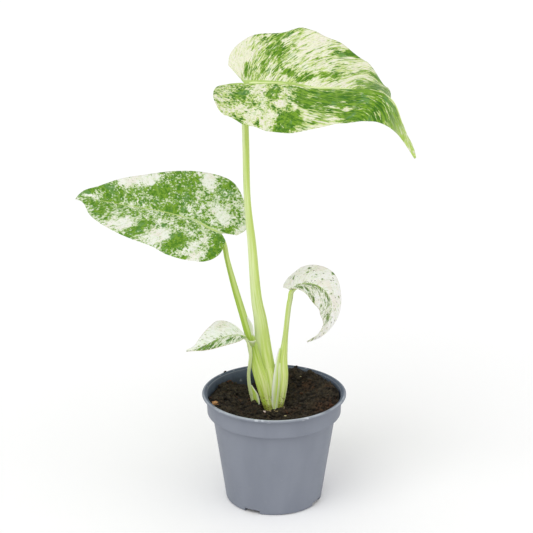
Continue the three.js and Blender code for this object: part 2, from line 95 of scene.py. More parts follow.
# The halves of each blade, -1 and 1: how far a half lifts from the midrib, in degrees, at each place
# along it, and its outline, as (out from the midrib, along it). The variegation is listed: a level
# of green, how far the streaks are drawn out along the side veins at each t, and patches in
# percent, as t, v, size in t, size in v, and how much greener (+) or whiter (-) it is there
HALVES = {
    ("tall", -1): {
        # Its streaks lean from the side veins towards the tip, along the margin per millimetre
        "lean": 0.3,
        "lift": [(-0.1, 8), (0.3, 8), (0.5, -8), (0.62, -34), (0.74, -62), (0.84, -58), (1, -12)],
        "outline": [(20, -14.7), (32.4, -14.4), (44.8, -8.1), (54.8, 3.6), (56.7, 22), (64.3, 33.4),
            (63.3, 38.5), (62, 42.8), (57.1, 52.7), (56.8, 65.4), (50, 79), (40.5, 92), (35, 105),
            (28, 118.5), (16, 141), (5.2, 158), (1.2, 171)],
        "level": -0.36,
        "drawn_out": [(0, 0.75), (1, 1)],
        "patches": [(15.5, 26, 2.7, 13, 150), (5, 70, 9, 32, -90), (13, 72, 5, 28, -60),
            (11.5, 87, 0.6, 4, 100), (4, 93, 1, 3, 80), (22, 25, 2.5, 20, 25), (22.5, 100, 3.5, 3, 90),
            (26.2, 93, 1.4, 6, 100), (23.2, 84, 1.6, 5, 90), (29, 58, 4.2, 38, 65),
            (29, 16, 2.2, 10, 70), (32.5, 95, 1.2, 5, 80), (30, 75, 2, 10, 50), (39, 87, 4, 16, -100),
            (35, 50, 2, 10, 50), (42.8, 22, 3, 8, 150), (36.5, 35, 1.2, 8, 50), (48.8, 13, 2.4, 5, 120),
            (36, 20, 1.4, 10, 60), (51.5, 90, 1.6, 12, 130), (49.5, 80, 0.8, 5, 70),
            (53, 98, 1.6, 3, 80), (46, 88, 0.6, 3, 80), (53, 22, 2.2, 6, 90), (56, 33, 1.8, 12, 90),
            (59, 38, 1.5, 9, 100), (62, 22, 1.8, 3, 80), (62, 60, 1.4, 7, 60), (52, 55, 1.2, 5, 60),
            (60, 8, 10, 7, -70), (59, 85, 2.5, 14, -100), (65.2, 91, 2, 10, 140),
            (65.5, 30, 1.4, 30, -50), (77, 50, 7.5, 70, 115), (49, 60, 5, 12, -15),
            (93, 60, 6, 60, -20)],
    },
    ("tall", 1): {
        # Its streaks run nearly along the midrib: how far they part from it at each place along it
        "slant": [(0, 0), (0.62, 17), (1, 17)],
        "lift": [(-0.12, 26), (-0.04, 16), (0.06, 9), (0.2, 8), (1, 4)],
        "outline": [(0.4, -11.4), (6.1, -19.3), (16.9, -20.9), (27, -20.1), (36.5, -18.2), (50, -11.3),
            (56, 3.2), (58.6, 17), (62.5, 31.8), (60, 54), (54.7, 65.6), (50.5, 77), (45.7, 89),
            (46, 103.5), (42.7, 115), (35.4, 124), (24.8, 131.3), (15.6, 139.5), (9.8, 147.7),
            (5.5, 158), (1.2, 171)],
        "level": -0.2,
        "drawn_out": [(0, 0.1), (0.42, 0.15), (0.56, 0.9), (1, 1)],
        "patches": [(4, 60, 7, 35, 25), (22, 35, 4.5, 14, 110), (32, 13, 2.5, 12, -90),
            (23, 68, 2, 8, 70), (31.5, 52, 1.8, 7, 80), (39, 20, 2.4, 12, 110), (32, 78, 5, 20, -45),
            (34, 90, 1.3, 6, 110), (27.5, 90, 1.5, 6, 80), (38.5, 80, 1.6, 18, -70),
            (45, 42, 3.5, 9, -60), (46.8, 78, 4.6, 20, 120), (42, 93, 2, 8, 110), (55, 30, 6, 20, 140),
            (65, 36, 2, 8, 20), (50.5, 50, 2, 8, -90), (53, 70, 1.4, 10, -120), (55, 80, 1, 7, -120),
            (62, 84, 1.2, 6, -70), (58.5, 97, 3.6, 5, -140), (54.5, 88, 1.4, 6, 40),
            (72, 50, 13, 75, 105), (61.5, 57, 3, 3.5, -90), (68, 62, 3, 5, -110),
            (64, 68, 2.2, 3.5, -90), (76, 45, 3, 4, -80), (73, 25, 2.5, 3, -70), (95, 50, 8, 100, 160)],
    },
    ("left", -1): {
        "lift": [(0, 6), (1, 6)],
        "outline": [(7, -7), (16.2, -9.2), (27, -9.4), (38.3, -3.3), (44.8, 8.5), (49.8, 24),
            (45.8, 44), (41.2, 68), (32.3, 90), (21.7, 108.4), (8.6, 119.4), (1, 129)],
        "level": -0.1,
        "drawn_out": [(0, 0.25), (1, 0.5)],
        "patches": [(5, 60, 8, 70, 100), (16, 60, 3.6, 45, 110), (24, 91, 2.2, 12, -150),
            (21.5, 25, 4, 12, 50), (29, 55, 3.5, 22, -50), (27, 50, 1.2, 5, 60), (29, 94, 2, 5, 80),
            (38.5, 72, 4.2, 24, 110), (42, 50, 2, 10, 80), (48.5, 76, 3.4, 20, -100),
            (48.5, 20, 2.5, 9, 110), (53.5, 55, 3, 20, -50), (55.5, 42, 1.4, 6, 80),
            (40, 14, 5, 10, 30), (62.5, 62, 2.2, 22, 130), (59.2, 78, 1.4, 8, 35), (65, 25, 1.5, 8, 70),
            (58, 14, 2, 6, 60), (70, 72, 3.5, 20, -100), (62, 98.5, 3, 2, 90), (78, 25, 9, 20, 30),
            (88, 50, 6, 50, 40), (84, 70, 2, 12, 50)],
    },
    ("left", 1): {
        "lift": [(-0.1, -4), (-0.02, 2), (0.08, 6)],
        "outline": [(5, -12), (14, -15), (25, -13.5), (36, -7), (46.5, 3.4), (55, 17.8), (55.3, 36.2),
            (48.5, 58.6), (38.5, 80.3), (28.8, 99), (13.5, 115.4), (5.4, 125.8), (1, 129)],
        "level": 0,
        "drawn_out": [(0, 0.2), (1, 0.5)],
        "patches": [(6, 18, 9, 24, 130), (7, 85, 5, 25, -50), (14, 75, 6, 25, -20),
            (28, 33, 9, 13, -110), (17, 30, 4, 12, -50), (35, 90, 3.5, 12, 60),
            (43.5, 85, 2.2, 20, -120), (53, 65, 7, 35, 45), (60, 12, 6, 12, 90), (65, 50, 3.2, 17, 130),
            (76, 90, 5, 13, -160), (69, 84, 3.5, 13, -120), (63.5, 92, 1.8, 8, -80),
            (80, 40, 10, 30, 35), (86, 85, 4, 15, 70), (95, 85, 3, 25, 140), (94, 30, 3, 12, -100),
            (47, 10, 3, 10, -20)],
    },
    ("right", -1): {
        "lift": [(0, 5), (0.3, 5), (0.5, -2), (1, 8)],
        "outline": [(14, -10.7), (21.1, -10.4), (27.9, -5.9), (30.5, 1), (30.7, 12.3), (26.2, 26),
            (19.3, 39), (14.8, 53), (8.2, 64.5), (3.9, 75.3), (0.9, 82.5)],
        "level": -0.95,
        "drawn_out": [(0, 0.5), (1, 0.7)],
        "patches": [(20, 60, 1.4, 8, 200), (34, 78, 1.1, 3.6, 230), (36, 60, 1, 3.5, 210),
            (45.2, 94, 1.2, 5, 260), (10, 30, 5, 20, 40), (40, 35, 3, 10, 50), (49, 42, 1, 5, 130),
            (42, 50, 0.8, 3.5, 140), (60, 40, 4, 6, 60), (63, 78, 1.3, 6, 170), (73, 45, 1.3, 6, 160),
            (30, 6, 7, 6, 80), (45, 3, 25, 4, 80), (80, 20, 10, 20, 40), (97, 50, 1.2, 50, 160)],
    },
    ("right", 1): {
        "lift": [(-0.1, 34), (0, 30), (0.5, 3), (1, 0)],
        "outline": [(3.5, 1), (9, 1.2), (17, 3), (25.5, 9.5), (27.4, 22.3), (21.7, 36), (16.7, 50.4),
            (6.7, 60.8), (2, 72.2), (0.9, 82.5)],
        "level": -0.3,
        "drawn_out": [(0, 0.8), (1, 0.95)],
        "patches": [(26, 60, 2.2, 22, 120), (30, 66, 2.2, 20, 140), (36, 60, 1.8, 14, 150),
            (41.5, 86, 1.4, 10, 190), (40, 15, 6, 10, 110), (50, 7, 3, 6, 130), (47.5, 32, 1.4, 8, 90),
            (54, 20, 2, 10, 80), (48, 75, 4, 20, -60), (55.5, 82, 0.9, 6, 110), (62, 12, 5, 10, 80),
            (77, 50, 3, 30, 100), (18, 40, 10, 40, 30), (90, 50, 6, 80, -60)],
    },
    ("low", -1): {
        "lift": [(0, 14), (1, 14)],
        "outline": [(1.5, 0), (6.1, 2.4), (12, 7.4), (14.6, 16), (13.7, 26), (8.6, 37.8), (2.1, 46.2),
            (0.9, 52.5)],
        "level": -0.3,
        "drawn_out": [(0, 0.9), (1, 1)],
        "patches": [(20, 30, 8, 40, 60), (27, 12, 3, 14, 90), (28, 62, 2, 14, 90),
            (37, 55, 1.2, 14, 90), (45, 50, 2.5, 25, 110), (53, 45, 2, 15, -80), (34, 35, 2, 14, -60),
            (54, 90, 6, 10, 60), (76, 45, 13, 60, 120), (64, 95, 2, 6, 80)],
    },
    ("low", 1): {
        "lift": [(0, 12), (1, 12)],
        "outline": [(1.5, 1), (8.1, 6.9), (14.8, 11.7), (18.7, 19), (15.6, 25.3), (10.5, 34.7),
            (3.9, 44.6), (0.9, 52.5)],
        "level": -1,
        "drawn_out": [(0, 0.8), (1, 0.9)],
        "patches": [(37, 25, 5, 8, 80), (54, 60, 1.4, 5, 120), (65, 10, 7, 9, 90),
            (60, 97, 1.4, 4, 100), (45, 70, 1.2, 5, 60), (90, 30, 8, 30, 80)],
    },
}

# Stations of the stalks from the crown up: x, y, z, half width, half depth
STALKS = {
    "tall": [(-1.2, 4.2, 79, 5, 3.3), (-2.6, 4.2, 86, 6.6, 3.9), (-5.2, 3.9, 105, 7.5, 4.4),
        (-8.7, 3.4, 130, 6.9, 4.5), (-11.5, 2.6, 159, 5.3, 4.2), (-14.5, 1.6, 177, 4.5, 3.9),
        (-18.2, 0.6, 225, 3.5, 3.3), (-21.7, 0, 263, 2.75, 2.75), (-22.8, 0, 310, 2.75, 2.7),
        (-23.6, 0.2, 340, 2.7, 2.7), (-24, 0.2, 352, 2.9, 2.8)],
    "left": [(-4, -3.8, 79, 3.2, 2.4), (-5.9, -4.4, 86, 3.9, 2.5), (-10, -5, 105, 5.2, 2.5),
        (-14.8, -4.8, 123, 4.8, 2.4), (-18.5, -4, 140, 4, 2.3), (-24, -2.4, 159, 3.2, 2.3),
        (-31.7, -0.8, 186, 2.7, 2.3), (-38, 0, 211, 2.1, 2.1), (-41.6, 0, 228, 2, 2)],
    "right": [(4, -1, 79, 3.2, 2.8), (4.7, -1.2, 86, 4, 2.9), (6.2, -1.2, 98, 4.6, 3),
        (7, -1, 110, 4.7, 3), (6.6, -0.8, 122, 4.5, 2.8), (8.2, -0.4, 134, 3, 2.6),
        (9.2, 0, 144, 2.3, 2.2), (12.1, 0, 172, 2.1, 2.1), (13.2, 0, 178, 2.1, 2),
        (14.3, 0.1, 184.2, 2, 1.9)],
    "low": [(-12, -2, 73, 1.5, 1.4), (-16.4, -2.4, 84, 1.5, 1.4), (-18.6, -3, 92, 1.5, 1.4),
        (-20.3, -4.2, 101, 1.5, 1.4), (-21.1, -6, 113, 1.4, 1.4), (-20, -8.2, 124, 1.4, 1.4),
        (-19.4, -8.9, 133, 1.4, 1.4), (-20.9, -8.8, 142, 1.4, 1.4)],
}


# Curves and noise

CURVE_STEPS = 24


def eased(keys, f):
    """Values that pass smoothly from one (place, value) key to the next."""
    f = np.asarray(f, float)
    value = np.full(f.shape, float(keys[0][1]))
    for (a, p), (b, q) in zip(keys[:-1], keys[1:]):
        t = np.clip((f - a) / (b - a), 0, 1)
        value = value + (q - p) * t * t * (3 - 2 * t)
    return value


def smooth_curve(points, count):
    """A centripetal curve through the points at equal steps of length, and its length."""
    points = np.asarray(points, float)
    last = len(points) - 1
    found = []
    for i in range(last):
        p1, p2 = points[i], points[i + 1]
        p0 = points[i - 1] if i > 0 else 2 * p1 - p2
        p3 = points[i + 2] if i + 2 <= last else 2 * p2 - p1
        d0, d1, d2 = [max(np.linalg.norm((b - a)[:3]) ** 0.5, 1e-6)
                      for a, b in ((p0, p1), (p1, p2), (p2, p3))]
        m1 = ((p1 - p0) / d0 - (p2 - p0) / (d0 + d1) + (p2 - p1) / d1) * d1
        m2 = ((p2 - p1) / d1 - (p3 - p1) / (d1 + d2) + (p3 - p2) / d2) * d1
        s = np.linspace(0, 1, CURVE_STEPS, endpoint=False)[:, None]
        found.append(p1 + s * m1 + s * s * (-3 * p1 + 3 * p2 - 2 * m1 - m2)
                     + s ** 3 * (2 * p1 - 2 * p2 + m1 + m2))
    dense = np.vstack(found + [points[-1:]])
    steps = np.linalg.norm(np.diff(dense[:, :3], axis=0), axis=1)
    length = np.r_[0, np.cumsum(steps)]
    places = np.linspace(0, length[-1], count)
    return np.stack([np.interp(places, length, column) for column in dense.T], -1), length[-1]


def unit(vectors):
    return vectors / np.maximum(np.linalg.norm(vectors, axis=-1, keepdims=True), 1e-9)


def circle(count):
    """Angles at equal steps round a circle."""
    return np.linspace(0, 2 * math.pi, count, endpoint=False)


def normals(grid):
    """Directions out of a grid of points."""
    return unit(np.cross(np.gradient(grid, axis=1), np.gradient(grid, axis=0)))


def lattice(i, j, k, seed):
    """A fixed number from 0 to 1 for each lattice point."""
    h = (i * 374761393 + j * 668265263 + k * 2147483647 + seed * 1274126177) & 0xFFFFFFFF
    h = ((h ^ (h >> 13)) * 1274126177) & 0xFFFFFFFF
    return ((h ^ (h >> 16)) & 0xFFFF) / 65535.0


def noise(points, scale, seed):
    """Smooth value noise from -1 to 1."""
    p = np.asarray(points, float) / scale
    cell = np.floor(p).astype(np.int64)
    f = p - cell
    f = f * f * (3 - 2 * f)
    total = 0
    for corner in np.ndindex(2, 2, 2):
        weight = np.where(corner, f, 1 - f).prod(-1)
        total = total + weight * lattice(*np.moveaxis(cell + corner, -1, 0), seed)
    return total * 2 - 1


# Meshes

def add_object(name, data):
    obj = bpy.data.objects.new(name, data)
    bpy.context.scene.collection.objects.link(obj)
    return obj


def make_object(name, points_mm, faces, material, smooth=True, **attributes):
    mesh = bpy.data.meshes.new(name)
    faces = faces if isinstance(faces, list) else faces.tolist()
    mesh.from_pydata((np.asarray(points_mm) * MM).tolist(), [], faces)
    mesh.update()
    mesh.polygons.foreach_set("use_smooth", [smooth] * len(mesh.polygons))
    for key, values in attributes.items():
        values = np.asarray(values, np.float32).reshape(len(points_mm), -1)
        single = values.shape[1] == 1
        layer = mesh.attributes.new(key, "FLOAT" if single else "FLOAT_VECTOR", "POINT")
        layer.data.foreach_set("value" if single else "vector", values.ravel())
    mesh.materials.append(material)
    return add_object(name, mesh)


def place(obj, slot, *replaced):
    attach(obj, "root")
    if replaced:
        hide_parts(*replaced)
    return obj


def grid_faces(rows, columns, start=0, flip=False, wrap=False):
    i, j = np.meshgrid(np.arange(rows - 1), np.arange(columns if wrap else columns - 1), indexing="ij")
    a = start + i * columns + j
    b = start + i * columns + (j + 1) % columns
    quads = np.stack([a, b, b + columns, a + columns], -1).reshape(-1, 4)
    return quads[:, ::-1] if flip else quads


def closed_tube(rings, sides, start=0, flip=False):
    """The faces of a tube of rings of points, capped at both ends."""
    first = list(range(start, start + sides))
    last = [(rings - 1) * sides + i for i in first]
    caps = [first, last[::-1]] if flip else [first[::-1], last]
    return grid_faces(rings, sides, start, flip, wrap=True).tolist() + caps


def closed_sheet(upper, lower):
    """The points and faces of a thin closed sheet between two grids of points."""
    rows, columns = upper.shape[:2]
    count = rows * columns
    ring = np.r_[np.arange(columns), np.arange(1, rows) * columns + columns - 1,
                 (rows - 1) * columns + np.arange(columns - 2, -1, -1),
                 np.arange(rows - 2, 0, -1) * columns]
    after = np.roll(ring, -1)
    rim = np.stack([ring, ring + count, after + count, after], -1)
    faces = [grid_faces(rows, columns), grid_faces(rows, columns, count, flip=True), rim]
    return np.vstack([upper.reshape(-1, 3), lower.reshape(-1, 3)]), np.vstack(faces)


def sharpen(obj, degrees):
    """Marks the edges that turn more than this as sharp, so that the rest shades smoothly."""
    made = bmesh.new()
    made.from_mesh(obj.data)
    limit = math.radians(degrees)
    for edge in made.edges:
        edge.smooth = len(edge.link_faces) == 2 and edge.calc_face_angle(0) < limit
    made.to_mesh(obj.data)
    made.free()


# Node trees. Places are in millimetres, and colours are as they look on a screen, from 0 to 255

def linear(colour):
    """A screen colour as linear light."""
    return tuple(c / 12.92 if c <= 0.04045 else ((c + 0.055) / 1.055) ** 2.4
                 for c in np.array(colour) / 255)


class Value:
    """An output of a node, which takes part in sums and feeds further nodes."""

    def __init__(self, tree, socket):
        self.tree = tree
        self.socket = socket

    def __add__(self, other):
        return self.tree.math("ADD", self, other)

    def __sub__(self, other):
        return self.tree.math("SUBTRACT", self, other)

    def __mul__(self, other):
        return self.tree.math("MULTIPLY", self, other)

    def __truediv__(self, other):
        return self.tree.math("DIVIDE", self, other)

    def span(self, low, high, to_low=0.0, to_high=1.0):
        """Passes smoothly from to_low, where this is low, to to_high, where this is high."""
        ends = (low, high, to_low, to_high)
        return self.tree.node("MapRange", {"interpolation_type": "SMOOTHSTEP"}, self, *ends)["Result"]

    def split(self):
        return self.tree.node("SeparateXYZ", {}, self).values()

    def scaled(self, scale, offset=(0, 0, 0)):
        return self.tree.node("Mapping", {}, Vector=self, Scale=scale, Location=offset)["Vector"]

    def distance(self, point):
        return self.tree.node("VectorMath", {"operation": "DISTANCE"}, self, point)["Value"]

    def cells(self, scale):
        """The distance to the nearest cell's centre, and that cell's random colour."""
        found = self.tree.node("TexVoronoi", {}, Vector=self, Scale=scale)
        return found["Distance"], found["Color"]

    def noise(self, scale, detail=3.0, roughness=0.55, distortion=0.0, offset=(0, 0, 0)):
        """Noise about 1 / scale wide. The scale may be one number or one for each axis."""
        vector = self
        if isinstance(scale, tuple):
            vector, scale = self.scaled(scale, offset), 1.0
        return self.tree.node("TexNoise", {}, Vector=vector, Scale=scale, Detail=detail,
                              Roughness=roughness, Distortion=distortion)["Fac"]


class Tree:
    """A material's node tree, with the colour that has been laid on so far."""

    def __init__(self, name):
        self.material = bpy.data.materials.new(name)
        self.material.use_nodes = True
        self.nodes = self.material.node_tree.nodes
        self.shader = next(n for n in self.nodes if n.type == "BSDF_PRINCIPLED")
        self.colour = None

    def feed(self, socket, value):
        if isinstance(value, Value):
            self.material.node_tree.links.new(value.socket, socket)
        elif socket.type == "RGBA":
            socket.default_value = linear(value) + (1.0,)
        else:
            socket.default_value = value

    def node(self, kind, settings, *values, **named):
        """Adds a node, feeds its inputs in order or by name, and gives its outputs by name."""
        node = self.nodes.new("ShaderNode" + kind)
        for key, value in settings.items():
            setattr(node, key, value)
        for socket, value in zip([s for s in node.inputs if s.enabled], values):
            self.feed(socket, value)
        for key, value in named.items():
            self.feed(node.inputs[key], value)
        return {s.name: Value(self, s) for s in node.outputs if s.enabled}

    def attribute(self, name, output="Vector"):
        return self.node("Attribute", {"attribute_name": name})[output]

    def coordinates(self):
        """Places on the object, in millimetres."""
        return self.node("TexCoord", {})["Object"].scaled((1 / MM, 1 / MM, 1 / MM))

    def math(self, operation, *values):
        return self.node("Math", {"operation": operation}, *values)["Value"]

    def mix(self, factor, a, b):
        return self.node("Mix", {"data_type": "RGBA"}, factor, a, b)["Result"]

    def cover(self, mask, colour):
        """Lays a colour on where the mask is 1."""
        self.colour = self.mix(mask, self.colour, colour)

    def bump(self, height, depth_mm, strength, **under):
        return self.node("Bump", {}, Height=height, Distance=depth_mm * MM, Strength=strength,
                         **under)["Normal"]

    def shade(self, **values):
        for key, value in {"Base_Color": self.colour, **values}.items():
            self.feed(self.shader.inputs[key.replace("_", " ")], value)
        return self.material


# Leaf blades

MIDRIB_STATIONS = 241
OUTLINE_STATIONS = 400
FRAME_SOFTENING = 21
BLADE_THICKNESS = 0.5
MARGIN_THICKNESS = 0.26
VEIN_COUNT = 15
VEIN_SWELL = 0.22
FURROW_DEPTH = 0.24
FURROW_WIDTH = 0.16
RIPPLE = 0.35
CHANNEL_DEPTH = 0.55
CHANNEL_WIDTH = 1.5
FULL_RELIEF_LENGTH = 130
HALVES_APART = 40
TONE_LIMITS = (-0.75, 0.74)

# Colours of a painted bluish sheen, on the greens and on the pale green
SHEEN_GREEN = (98, 144, 84)
SHEEN_PALE = (188, 206, 170)
ROSY = (236, 229, 218)
FLECK = (98, 98, 54)
EDGING = (186, 160, 128)


def softened(directions):
    """Directions evened out along the midrib by a moving mean, twice."""
    half = FRAME_SOFTENING
    for _ in range(2):
        padded = np.pad(directions, ((half, half), (0, 0)), "edge")
        sums = np.vstack([np.zeros(3), np.cumsum(padded, 0)])
        directions = (sums[2 * half + 1:] - sums[:-2 * half - 1]) / (2 * half + 1)
    return unit(directions)


def midrib_frames(blade):
    """Places along the midrib, with the directions along it, across the blade and out of it."""
    places, length = smooth_curve(blade["midrib"], MIDRIB_STATIONS)
    along = unit(np.gradient(places, axis=0))
    levels = [unit(np.cross(along[0], (0, 0, 1.0)))]
    for tangent in along[1:]:
        levels.append(unit(levels[-1] - tangent * (levels[-1] @ tangent)))
    levels = np.array(levels)
    above = np.cross(levels, along)
    roll = np.radians(eased(blade["roll"], np.linspace(0, 1, MIDRIB_STATIONS)))[:, None]
    across = levels * np.cos(roll) + above * np.sin(roll)
    outward = above * np.cos(roll) - levels * np.sin(roll)
    return {"places": places, "along": along, "across": softened(across), "outward": softened(outward),
            "length": length}


def at(frames, key, f):
    stations = np.linspace(0, 1, MIDRIB_STATIONS)
    return np.stack([np.interp(np.clip(f, 0, 1), stations, column) for column in frames[key].T], -1)


def vein_start(t):
    """Where along the midrib the side vein that ends at t leaves it."""
    return 0.05 * t + 0.95 * np.clip((t - 0.12) / 0.88, 0, 1) ** 1.7


def tone_field(half, t, v, plane):
    """How green each point is, with patches whose edges wander."""
    t = t + 0.012 * noise(plane, 6, 31) + 0.006 * noise(plane, 2.6, 32)
    v = v + 0.05 * noise(plane, 7, 33) + 0.03 * noise(plane, 3, 34)
    total = np.full(t.shape, float(half["level"]))
    for pt, pv, st, sv, amount in np.array(half["patches"]) / 100:
        total = total + amount * np.exp(-((t - pt) / st) ** 2 - ((v - pv) / sv) ** 2)
    return np.clip(total, *TONE_LIMITS)


def half_blade(name, side, frames, t, v):
    """One half's middle surface, with what its relief and its material need at each point."""
    half = HALVES[name, side]
    outline, margin = smooth_curve(half["outline"], OUTLINE_STATIONS)
    mx, my = [np.interp(t, np.linspace(0, 1, OUTLINE_STATIONS), column) for column in outline.T]
    start = vein_start(t) * frames["length"]
    reach = np.hypot(mx, my - start)
    bow = 0.1 * reach * eased([(0.05, 0), (0.3, 1)], t)
    x = v * mx
    y = (1 - v) ** 2 * start + 2 * v * (1 - v) * ((start + my) / 2 - bow) + v * v * my
    f = y / frames["length"]
    lift = np.radians(eased(half["lift"], f))
    curl = math.radians(BLADES[name]["curl"])
    sideways = (np.sin(lift + curl * x) - np.sin(lift)) / curl
    height = (np.cos(lift) - np.cos(lift + curl * x)) / curl
    points = (at(frames, "places", f) + at(frames, "along", f) * np.minimum(y, 0)[..., None]
              + at(frames, "across", f) * (side * sideways)[..., None]
              + at(frames, "outward", f) * height[..., None])
    sides = np.full(t.shape, float(side))
    # The plane in which streaks are drawn out: across them, along them, and which half it is
    vein = [t * margin - half.get("lean", 0) * v * reach, v * reach]
    if "slant" in half:
        vein = [x - eased(half["slant"], f), 0.6 * y]
    data = {
        "points": points,
        "vein": np.stack([*vein, HALVES_APART * sides], -1),
        "flat": np.stack([side * x, y, eased(half["drawn_out"], t)], -1),
        "t": t,
        "v": v,
        "side": sides,
        "reach": v * reach,
        "tone": tone_field(half, t, v, np.stack([side * x, y, 0 * x], -1)),
    }
    # The columns run from margin to margin, with the midrib's own column only once
    columns = slice(None, None, -1) if side < 0 else slice(1, None)
    return {key: value[:, columns] for key, value in data.items()}


def blade_object(name, material):
    frames = midrib_frames(BLADES[name])
    rows, columns = BLADES[name]["grid"]
    t, v = np.meshgrid(np.linspace(0, 1, rows), np.linspace(0, 1, columns + 1) ** 1.1, indexing="ij")
    halves = [half_blade(name, side, frames, t, v) for side in (-1, 1)]
    whole = {key: np.concatenate([half[key] for half in halves], axis=1) for key in halves[0]}
    middle, t, v = whole["points"], whole["t"], whole["v"]
    normal = normals(middle)
    # Side veins sit in shallow furrows, and the blade swells a little between them
    phase = t * VEIN_COUNT + 0.35 * whole["side"] + 0.25 * np.sin(9 * t)
    nearness = np.abs((phase % 1) - 0.5) * 2
    scale = min(1.0, frames["length"] / FULL_RELIEF_LENGTH)
    fade = eased([(0, 0), (0.12, 1)], v) * (1 - 0.75 * v)
    furrow = fade * np.exp(-((1 - nearness) / FURROW_WIDTH) ** 2)
    relief = VEIN_SWELL * fade * (1 - nearness ** 2) - FURROW_DEPTH * furrow
    relief += RIPPLE * noise(whole["vein"] * [0.6, 0.25, 1], 9, 5) * eased([(0.1, 0), (0.8, 1)], v)
    # A channel along the midrib
    channel_width = CHANNEL_WIDTH * scale * (1.15 - 0.8 * vein_start(t))
    relief -= CHANNEL_DEPTH * np.exp(-(whole["reach"] / channel_width) ** 2)
    half = (BLADE_THICKNESS + (MARGIN_THICKNESS - BLADE_THICKNESS) * v ** 6) / 2
    points, faces = closed_sheet(middle + normal * (scale * relief + half)[..., None],
                                 middle + normal * (scale * relief - half)[..., None])

    def twice(values):
        return np.concatenate([values.reshape(t.size, -1)] * 2)

    underside = np.repeat([0, 1], t.size)
    obj = make_object(name + "_leaf", points, faces, material,
                      vein=twice(whole["vein"]), flat=twice(whole["flat"]), tone=twice(whole["tone"]),
                      furrow=twice(furrow), place=np.column_stack([twice(t), twice(v), underside]))
    return place(obj, name + "_blade", name + "_blade")


def leaf_material(name, cream, pale, bright, deep, streak, spot, rib, rib_width, flecks, edging=0.0,
                  tip=None):
    """Two layers of green tissue, each missing in places, give cream, pale, mid and dark green."""
    tree = Tree(name + "_leaf")
    vein, flat, tone = tree.attribute("vein"), tree.attribute("flat"), tree.attribute("tone", "Fac")
    sideways, _, drawn_out = flat.split()
    t, v, underside = tree.attribute("place").split()

    def grain(offset, size):
        """Streaks along the side veins that pass into an even mosaic where the leaf has one."""
        across, along = [1 / side / size for side in streak]
        even = 1 / spot / size
        offset = (offset, offset * 1.7, offset * 0.6)
        drawn = vein.noise((across, along, 1), 2, 0.6, 0.2, offset)
        mosaic = flat.noise((even, even, 0), 2, 0.6, 0.3, offset)
        return mosaic + drawn_out * (drawn - mosaic) - 0.5

    fine = grain(0, 1)
    other = grain(5.3, 1.2)
    broad = grain(9.1, 2.7)
    tiny = grain(3.7, 0.45)
    medium = grain(7.7, 1.5)
    level = tone + broad * 3
    outer = (level + fine * 4.6 + tiny * 1.6).span(-0.16, 0.16)
    inner = (level + other * 4.4 - tiny * 1.6).span(-0.54, -0.02)
    # Each colour is itself stippled; in broad patches the greens and the pale green take a painted bluish
    # sheen, and the cream turns rosy
    sheen_and_rose = flat.noise((0.085, 0.085, 0), 2, offset=(2, 4, 0))
    sheen = sheen_and_rose.span(0.54, 0.68, 0, 0.6)
    rosy = tree.mix(sheen_and_rose.span(0.5, 0.36, 0, 0.7), cream, ROSY)
    sheened_pale = tree.mix(sheen, pale, SHEEN_PALE)
    stippled_cream = tree.mix(tiny.span(0, 0.16, 0, 0.75), rosy, sheened_pale)
    stippled_pale = tree.mix(tiny.span(0.02, -0.16, 0, 0.5), sheened_pale, cream)
    lively = tree.mix((tiny * 0.6 + medium).span(-0.12, 0.14), deep, bright)
    light = tree.mix(0.35, bright, pale)
    tree.colour = tree.mix(outer, tree.mix(inner, stippled_cream, stippled_pale),
                           tree.mix(inner, light, tree.mix(sheen, lively, SHEEN_GREEN)))
    # Sparse small flecks in the pale tissue, and side veins that are a little paler
    away, chance = vein.scaled((0.4, 0.22, 1)).cells(1)
    red, _, _ = chance.split()
    tree.cover(away.span(0.22, 0.12) * red.span(0.4, 0.45) * flecks, FLECK)
    tree.cover(tree.attribute("furrow", "Fac") * 0.3, light)
    if tip:
        streaked = tree.mix(fine.span(-0.02, 0.1, 0, 0.8), tip, cream)
        tree.cover(t.span(0.82, 0.96, 0, 0.9), tree.mix(other.span(0, 0.1, 0, 0.35), streaked, bright))
    # The midrib: a band that narrows towards the tip, with a darker line down its middle
    out = tree.math("ABSOLUTE", sideways) / t.span(0.05, 0.8, rib_width, 0.2 * rib_width)
    tree.cover(out.span(1, 0.7) * t.span(0.9, 0.5) * 0.9, tree.mix(out.span(0.35, 0, 0, 0.3), rib, bright))
    tree.cover(v.span(0.975, 0.995) * edging, EDGING)
    tree.cover(underside * 0.3, pale)
    return tree.shade(Roughness=broad.span(-0.2, 0.2, 0.52, 0.44), Specular_IOR_Level=0.2,
                      Normal=tree.bump(flat.noise(1.1, 2), 0.1, 0.4),
                      Subsurface_Weight=0.1, Subsurface_Radius=(0.002, 0.003, 0.001))


blade_object("tall", leaf_material(
    "tall", (234, 233, 210), (190, 209, 122), (120, 162, 36), (58, 110, 8), streak=(1.5, 6), spot=2.3,
    rib=(172, 198, 104), rib_width=3.4, flecks=0.3, tip=(190, 214, 110)))
blade_object("left", leaf_material(
    "left", (238, 239, 230), (194, 211, 162), (124, 164, 44), (70, 122, 14), streak=(1.5, 3.8), spot=2.2,
    rib=(194, 210, 160), rib_width=2, flecks=0.2))
blade_object("right", leaf_material(
    "right", (243, 242, 238), (216, 222, 190), (126, 154, 60), (54, 88, 20), streak=(0.9, 3.5), spot=1.2,
    rib=(160, 188, 100), rib_width=1.5, flecks=1.0, edging=0.3))
blade_object("low", leaf_material(
    "low", (243, 244, 239), (216, 224, 194), (124, 160, 52), (54, 102, 12), streak=(0.9, 4), spot=1.2,
    rib=(170, 194, 106), rib_width=0.9, flecks=0.6, edging=0.8))


# Stalks

STALK_SIDES = 36
WING_COLUMNS = 10
WING_THICKNESS = 0.35
WING_RUN = 40

# Rings of each stalk, its radius under the blade, and where along the midrib its keel starts
KEELS = {"tall": (260, 2.7, 0.03), "left": (200, 2.1, 0.03), "right": (150, 1.7, 0.06),
         "low": (110, 1.3, 0.03)}

